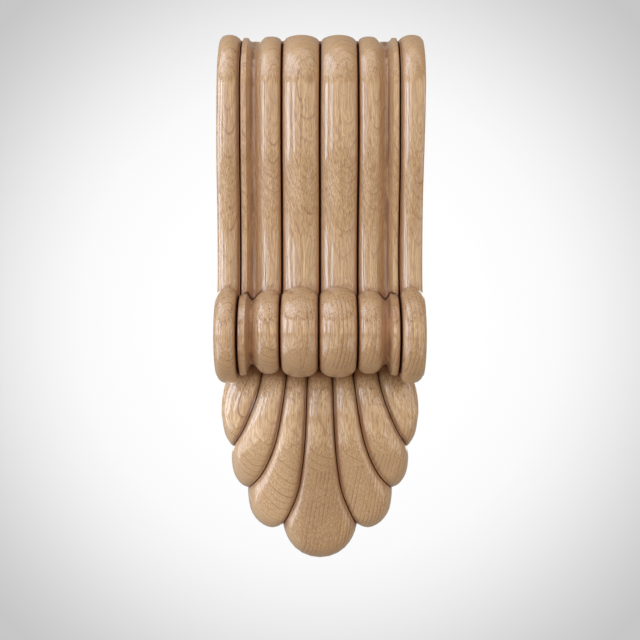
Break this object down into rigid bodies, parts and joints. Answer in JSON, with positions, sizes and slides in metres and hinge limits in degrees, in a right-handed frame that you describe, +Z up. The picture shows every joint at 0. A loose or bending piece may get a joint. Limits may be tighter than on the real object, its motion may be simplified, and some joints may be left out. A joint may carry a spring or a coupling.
{
  "type": "carved wooden corbel",
  "caption": "Carved wooden wall corbel with a reeded S-shaped body, a reeded scroll roll across its neck and a lobed shell leaf below.",
  "frame": {"origin": "middle of the flat back, on the wall plane", "axes": "+Z up, +Y from the corbel into the wall, so the carved front faces -Y; +X runs across the width, to the right as seen from the front"},
  "size_m": [0.124, 0.1029, 0.33],
  "materials": {
    "carved_wood": "light hardwood, satin clear lacquer, darker in the cut grooves"
  },
  "bodies": {
    "root": {"corbel": "carved_wood"}
  },
  "joints": []
}
